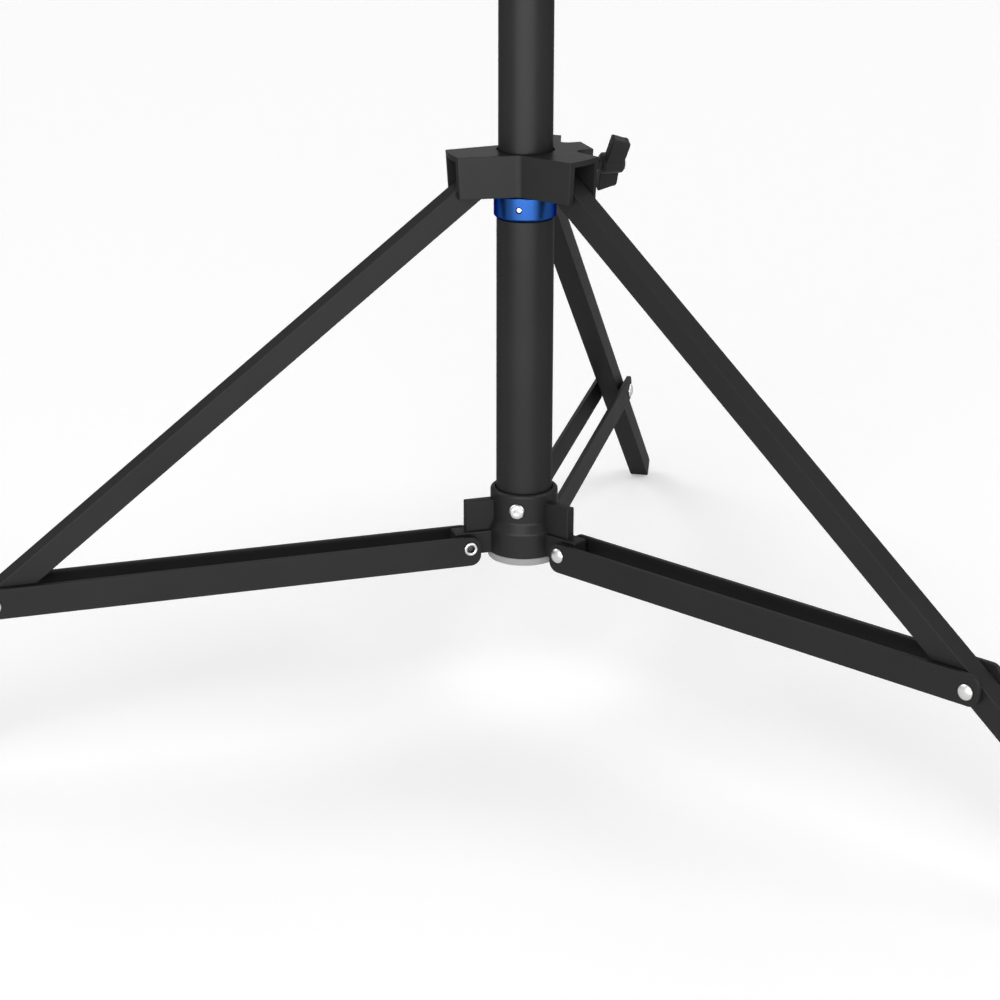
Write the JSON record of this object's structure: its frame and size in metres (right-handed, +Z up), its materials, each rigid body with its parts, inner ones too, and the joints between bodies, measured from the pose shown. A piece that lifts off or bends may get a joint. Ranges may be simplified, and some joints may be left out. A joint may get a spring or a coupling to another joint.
{
  "type": "air-cushioned light stand",
  "caption": "Folding light stand: legs with paired struts on a sliding spider, clamped telescopic risers that sink on an air cushion, and a standard lighting spigot.",
  "frame": {"origin": "on the floor, at the middle of the footprint's bounding box, legs spread and risers down; the column's axis is at x = 0, y = -0.12313 m", "axes": "+Z up along the column, -Y towards the side with the hub and stop ring screws, one leg towards +Y"},
  "size_m": [0.882, 0.7639, 1.0156],
  "materials": {
    "coated_aluminium": "satin powder coat",
    "coated_casting": "satin powder coat",
    "coated_steel": "satin powder coat",
    "black_plastic": "fine grain",
    "grey_plastic": "satin",
    "foot_rubber": "matt",
    "seal_rubber": "matt",
    "blue_anodised": "satin anodised",
    "bright_steel": "plated",
    "brass": "plain"
  },
  "bodies": {
    "column": {"base_tube": "coated_aluminium", "lower_sleeve": "coated_aluminium", "stop_ring": "blue_anodised", "stop_ring_screw": "bright_steel", "lower_hub": "coated_casting", "hub_screw": "bright_steel", "base_plug": "grey_plastic", "collar_1": "coated_casting", "collar_1_bush": "black_plastic", "collar_1_shoe": "brass"},
    "spider": {"spider": "coated_casting", "spider_liner": "black_plastic", "spider_shoe": "brass", "leg_pin_back": "bright_steel", "leg_pin_left": "bright_steel", "leg_pin_right": "bright_steel"},
    "spider_knob": {"spider_knob": "black_plastic", "spider_stud": "bright_steel"},
    "knob_1": {"collar_1_knob": "black_plastic", "collar_1_stud": "bright_steel"},
    "knob_2": {"collar_2_knob": "black_plastic", "collar_2_stud": "bright_steel"},
    "riser_1": {"riser_1_tube": "coated_aluminium", "riser_1_piston": "black_plastic", "riser_1_piston_seal": "seal_rubber", "collar_2": "coated_casting", "collar_2_bush": "black_plastic", "collar_2_shoe": "brass"},
    "riser_2": {"riser_2_tube": "coated_aluminium", "riser_2_piston": "black_plastic", "riser_2_piston_seal": "seal_rubber", "spigot": "bright_steel"},
    "leg_back": {"leg_back": "coated_aluminium", "foot_cap_back": "foot_rubber"},
    "strut_back": {"inner_rivet_back": "bright_steel", "outer_rivet_head_back": "bright_steel", "outer_rivet_tail_back": "bright_steel", "strut_bar_back_a": "coated_steel", "strut_bar_back_b": "coated_steel", "washer_back_a": "black_plastic", "washer_back_b": "black_plastic"},
    "leg_left": {"leg_left": "coated_aluminium", "foot_cap_left": "foot_rubber"},
    "strut_left": {"inner_rivet_left": "bright_steel", "outer_rivet_head_left": "bright_steel", "outer_rivet_tail_left": "bright_steel", "strut_bar_left_a": "coated_steel", "strut_bar_left_b": "coated_steel", "washer_left_a": "black_plastic", "washer_left_b": "black_plastic"},
    "leg_right": {"leg_right": "coated_aluminium", "foot_cap_right": "foot_rubber"},
    "strut_right": {"inner_rivet_right": "bright_steel", "outer_rivet_head_right": "bright_steel", "outer_rivet_tail_right": "bright_steel", "strut_bar_right_a": "coated_steel", "strut_bar_right_b": "coated_steel", "washer_right_a": "black_plastic", "washer_right_b": "black_plastic"}
  },
  "joints": [
    {"name": "spider_slide", "type": "slide", "parent": "column", "child": "spider", "axis": [0, 0, 1], "range_m": [0, 0.4708]},
    {"name": "leg_back_hinge", "type": "hinge", "parent": "spider", "child": "leg_back", "pos_m": [0, -0.08923, 0.36574], "axis": [-1, 0, 0], "range_deg": [0, 52.49]},
    {"name": "strut_back_hinge", "type": "hinge", "parent": "column", "child": "strut_back", "pos_m": [0, -0.08196, 0.12396], "axis": [1, 0, 0], "range_deg": [0, 92.06]},
    {"name": "leg_left_hinge", "type": "hinge", "parent": "spider", "child": "leg_left", "pos_m": [-0.02936, -0.14008, 0.36574], "axis": [0.5, -0.866, 0], "range_deg": [0, 52.49]},
    {"name": "strut_left_hinge", "type": "hinge", "parent": "column", "child": "strut_left", "pos_m": [-0.03565, -0.14372, 0.12396], "axis": [-0.5, 0.866, 0], "range_deg": [0, 92.06]},
    {"name": "leg_right_hinge", "type": "hinge", "parent": "spider", "child": "leg_right", "pos_m": [0.02936, -0.14008, 0.36574], "axis": [0.5, 0.866, 0], "range_deg": [0, 52.49]},
    {"name": "strut_right_hinge", "type": "hinge", "parent": "column", "child": "strut_right", "pos_m": [0.03565, -0.14372, 0.12396], "axis": [-0.5, -0.866, 0], "range_deg": [0, 92.06]},
    {"name": "riser_1_slide", "type": "slide", "parent": "column", "child": "riser_1", "axis": [0, 0, 1], "range_m": [0, 0.66]},
    {"name": "riser_2_slide", "type": "slide", "parent": "riser_1", "child": "riser_2", "axis": [0, 0, 1], "range_m": [0, 0.64]},
    {"name": "spider_knob_turn", "type": "hinge", "parent": "spider", "child": "spider_knob", "pos_m": [0.04763, -0.09563, 0.37304], "axis": [0.866, 0.5, 0], "range_deg": [0, 180]},
    {"name": "knob_1_turn", "type": "hinge", "parent": "column", "child": "knob_1", "pos_m": [0.03897, -0.10063, 0.90804], "axis": [0.866, 0.5, 0], "range_deg": [0, 180]},
    {"name": "knob_2_turn", "type": "hinge", "parent": "riser_1", "child": "knob_2", "pos_m": [0.03637, -0.10213, 0.96034], "axis": [0.866, 0.5, 0], "range_deg": [0, 180]}
  ],
  "couplings": [
    {"joint": "leg_back_hinge", "follows": "spider_slide", "rad_per_m": 1.9422},
    {"joint": "strut_back_hinge", "follows": "spider_slide", "rad_per_m": 3.4091},
    {"joint": "leg_left_hinge", "follows": "spider_slide", "rad_per_m": 1.9422},
    {"joint": "strut_left_hinge", "follows": "spider_slide", "rad_per_m": 3.4091},
    {"joint": "leg_right_hinge", "follows": "spider_slide", "rad_per_m": 1.9422},
    {"joint": "strut_right_hinge", "follows": "spider_slide", "rad_per_m": 3.4091}
  ]
}
